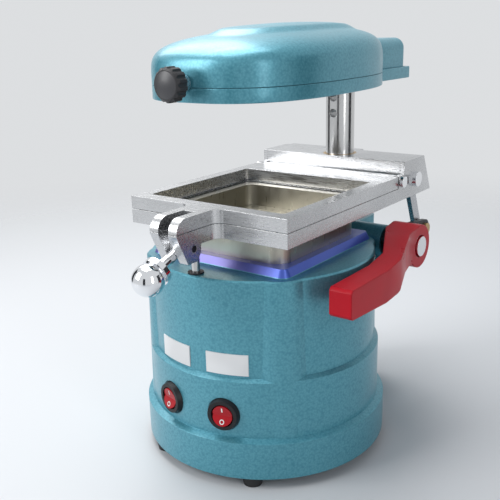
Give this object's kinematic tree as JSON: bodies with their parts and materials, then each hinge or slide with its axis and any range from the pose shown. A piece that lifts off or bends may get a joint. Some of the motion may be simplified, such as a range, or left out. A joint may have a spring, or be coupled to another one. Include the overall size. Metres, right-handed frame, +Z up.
{
  "type": "dental vacuum former",
  "caption": "Countertop vacuum former: cast round base with a square suction tray, a clamped sheet frame raised by a side lever, and a heater head that swings on a rear post.",
  "frame": {"origin": "on the bench, under the round base's own axis", "axes": "+Z up, -Y the front with the switches, +X the side with the red lever"},
  "size_m": [0.2077, 0.3257, 0.3251],
  "materials": {
    "teal_paint": "teal hammertone enamel over a light-alloy casting",
    "grey_metal": "zinc-plated sheet",
    "black_rubber": "moulded rubber",
    "plain_steel": "machined steel",
    "black_steel": "blackened steel",
    "polished_steel": "polished and plated",
    "post_steel": "brushed lengthways",
    "bronze": "bearing bronze",
    "stainless": "satin stainless sheet",
    "winding": "laminations and copper winding as one",
    "light_alloy": "bright light alloy",
    "satin_alloy": "satin light alloy",
    "black_plastic": "moulded",
    "red_rocker": "moulded, a bar and a ring moulded in",
    "red_plastic": "smooth moulding",
    "white_plate": "bare plate",
    "knob_plastic": "fluted moulding",
    "heater_ceramic": "refractory plate",
    "element_alloy": "resistance wire in a steel sheath"
  },
  "bodies": {
    "base": {"base_casting": "teal_paint", "bottom_cover": "grey_metal", "rubber_feet": "black_rubber", "foot_screws": "plain_steel", "guide_bush": "bronze", "tray": "stainless", "perforated_plate": "stainless", "tray_screws": "plain_steel", "port_gasket": "black_rubber", "fan_housing": "grey_metal", "fan_gasket": "black_rubber", "motor_can": "plain_steel", "stator_core": "winding", "motor_bracket": "grey_metal", "bracket_screws": "plain_steel", "motor_bearings": "polished_steel", "post": "post_steel", "post_set_screws": "black_steel", "lever_bush": "bronze", "power_inlet": "black_plastic", "inlet_screws": "plain_steel", "vacuum_switch": "black_plastic", "heat_switch": "black_plastic", "label_plates": "white_plate"},
    "rotor": {"rotor_shaft": "polished_steel", "rotor_core": "grey_metal", "impeller": "light_alloy"},
    "carrier": {"lower_frame": "satin_alloy", "sheet_seal": "black_rubber", "carrier_block": "satin_alloy", "block_bushes": "bronze", "cheek_screws": "plain_steel", "hinge_screws": "polished_steel", "link_pivot_bolt": "polished_steel", "guide_rod": "plain_steel", "clamp_pin": "plain_steel"},
    "upper_frame": {"upper_frame": "satin_alloy"},
    "swing_bolt": {"swing_bolt": "polished_steel"},
    "ball_nut": {"ball_nut": "polished_steel"},
    "lever": {"lever_handle": "red_plastic", "lever_cap_bolt": "polished_steel", "lever_shaft": "plain_steel", "crank_arm": "black_steel", "crank_pin": "bronze"},
    "link": {"link_bar": "plain_steel"},
    "head": {"head_shell": "teal_paint", "head_rim": "teal_paint", "head_hub": "light_alloy", "hub_screws": "plain_steel", "reflector": "light_alloy", "heater_plate": "heater_ceramic", "heater_element": "element_alloy", "element_brackets": "plain_steel", "knob": "knob_plastic", "knob_stud": "plain_steel"},
    "vacuum_rocker": {"vacuum_rocker": "red_rocker"},
    "heat_rocker": {"heat_rocker": "red_rocker"}
  },
  "joints": [
    {"name": "head_swing", "type": "hinge", "parent": "base", "child": "head", "pos_m": [0, 0.12, 0.275], "axis": [0, 0, 1], "range_deg": [-120, 120]},
    {"name": "carrier_lift", "type": "slide", "parent": "base", "child": "carrier", "axis": [0, 0, 1], "range_m": [0, 0.03]},
    {"name": "lever_turn", "type": "hinge", "parent": "base", "child": "lever", "pos_m": [0.09, 0.08, 0.151], "axis": [1, 0, 0], "range_deg": [0, 25.3]},
    {"name": "link_turn", "type": "hinge", "parent": "lever", "child": "link", "pos_m": [0.0646, 0.1455, 0.1473], "axis": [1, 0, 0], "range_deg": [-29.6, 0]},
    {"name": "frame_open", "type": "hinge", "parent": "carrier", "child": "upper_frame", "pos_m": [0, 0.0978, 0.1975], "axis": [-1, 0, 0], "range_deg": [0, 18]},
    {"name": "clamp_swing", "type": "hinge", "parent": "carrier", "child": "swing_bolt", "pos_m": [0, -0.095, 0.1795], "axis": [1, 0, 0], "range_deg": [-114, 0]},
    {"name": "ball_nut_turn", "type": "hinge", "parent": "swing_bolt", "child": "ball_nut", "pos_m": [0, -0.095, 0.1795], "axis": [0, -0.9135, -0.4067], "continuous": true},
    {"name": "motor_spin", "type": "hinge", "parent": "base", "child": "rotor", "pos_m": [0, 0, 0.1], "axis": [0, 0, 1], "continuous": true},
    {"name": "vacuum_rock", "type": "hinge", "parent": "base", "child": "vacuum_rocker", "pos_m": [-0.02204, -0.08839, 0.0559], "axis": [0.9703, -0.2419, 0], "range_deg": [0, 10]},
    {"name": "heat_rock", "type": "hinge", "parent": "base", "child": "heat_rocker", "pos_m": [0.02587, -0.08735, 0.0559], "axis": [0.9588, 0.284, 0], "range_deg": [0, 10]}
  ],
  "couplings": [
    {"joint": "lever_turn", "follows": "carrier_lift", "rad_per_m": 14.62},
    {"joint": "link_turn", "follows": "carrier_lift", "rad_per_m": -17.083}
  ]
}
